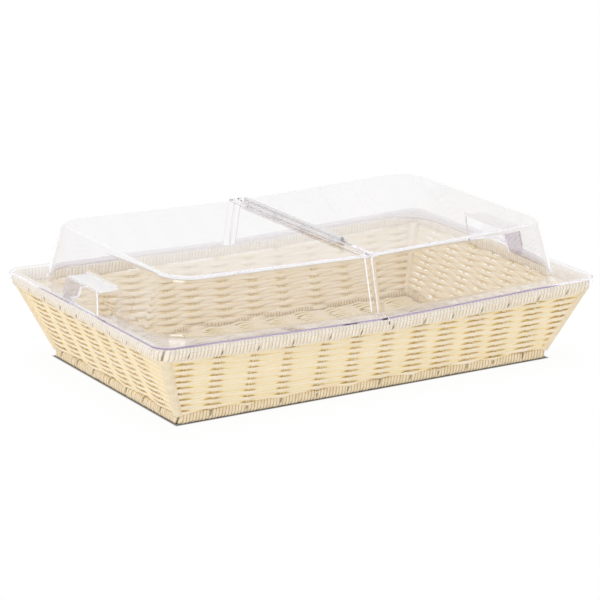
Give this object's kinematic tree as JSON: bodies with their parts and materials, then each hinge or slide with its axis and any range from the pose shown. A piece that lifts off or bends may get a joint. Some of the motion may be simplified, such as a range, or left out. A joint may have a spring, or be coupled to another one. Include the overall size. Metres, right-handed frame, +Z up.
{
  "type": "countertop bread display bin",
  "caption": "Flared woven countertop bread basket with wrapped rims and a clear dome cover in two halves that open on a hinge across the top.",
  "frame": {"origin": "middle of the basket's footprint, on the surface it stands on", "axes": "+X along the long side, towards the right half of the cover; +Y to the back; +Z up"},
  "size_m": [0.6, 0.4, 0.1721],
  "materials": {
    "woven_poly_rattan": "matte straw-coloured poly rattan",
    "wrapped_cord": "matte pale wound cord",
    "frame_wire": "drawn steel wire",
    "clear_polycarbonate": "clear polished polycarbonate",
    "clear_hinge_plastic": "clear moulded plastic",
    "hinge_fasteners": "bright stainless steel"
  },
  "bodies": {
    "basket": {"floor_weave": "woven_poly_rattan", "front_wall_weave": "woven_poly_rattan", "rear_wall_weave": "woven_poly_rattan", "left_wall_weave": "woven_poly_rattan", "right_wall_weave": "woven_poly_rattan", "rim_wire": "frame_wire", "base_wire": "frame_wire", "rim_wrap_front": "wrapped_cord", "rim_wrap_rear": "wrapped_cord", "rim_wrap_left": "wrapped_cord", "rim_wrap_right": "wrapped_cord", "rim_wrap_corner_front_left": "wrapped_cord", "rim_wrap_corner_front_right": "wrapped_cord", "rim_wrap_corner_rear_left": "wrapped_cord", "rim_wrap_corner_rear_right": "wrapped_cord", "base_wrap_front": "wrapped_cord", "base_wrap_rear": "wrapped_cord", "base_wrap_left": "wrapped_cord", "base_wrap_right": "wrapped_cord", "base_wrap_corner_front_left": "wrapped_cord", "base_wrap_corner_front_right": "wrapped_cord", "base_wrap_corner_rear_left": "wrapped_cord", "base_wrap_corner_rear_right": "wrapped_cord", "corner_band_front_left": "wrapped_cord", "corner_band_front_right": "wrapped_cord", "corner_band_rear_left": "wrapped_cord", "corner_band_rear_right": "wrapped_cord", "corner_wire_front_left": "frame_wire", "corner_wire_front_right": "frame_wire", "corner_wire_rear_left": "frame_wire", "corner_wire_rear_right": "frame_wire"},
    "cover_pin": {"hinge_pin": "hinge_fasteners"},
    "left_half": {"left_cover": "clear_polycarbonate", "left_hinge_leaf": "clear_hinge_plastic", "left_hinge_rivet_1": "hinge_fasteners", "left_hinge_rivet_2": "hinge_fasteners", "left_hinge_rivet_3": "hinge_fasteners", "left_hinge_rivet_4": "hinge_fasteners"},
    "right_half": {"right_cover": "clear_polycarbonate", "right_hinge_leaf": "clear_hinge_plastic", "right_hinge_rivet_1": "hinge_fasteners", "right_hinge_rivet_2": "hinge_fasteners", "right_hinge_rivet_3": "hinge_fasteners", "right_hinge_rivet_4": "hinge_fasteners"}
  },
  "joints": [
    {"name": "cover_lift", "type": "slide", "parent": "basket", "child": "cover_pin", "axis": [0, 0, 1], "range_m": [0, 0.2]},
    {"name": "left_cover_hinge", "type": "hinge", "parent": "cover_pin", "child": "left_half", "pos_m": [0, 0.017, 0.1695], "axis": [0, 1, 0], "range_deg": [0, 88]},
    {"name": "right_cover_hinge", "type": "hinge", "parent": "cover_pin", "child": "right_half", "pos_m": [0, 0.017, 0.1695], "axis": [0, -1, 0], "range_deg": [0, 88]}
  ]
}
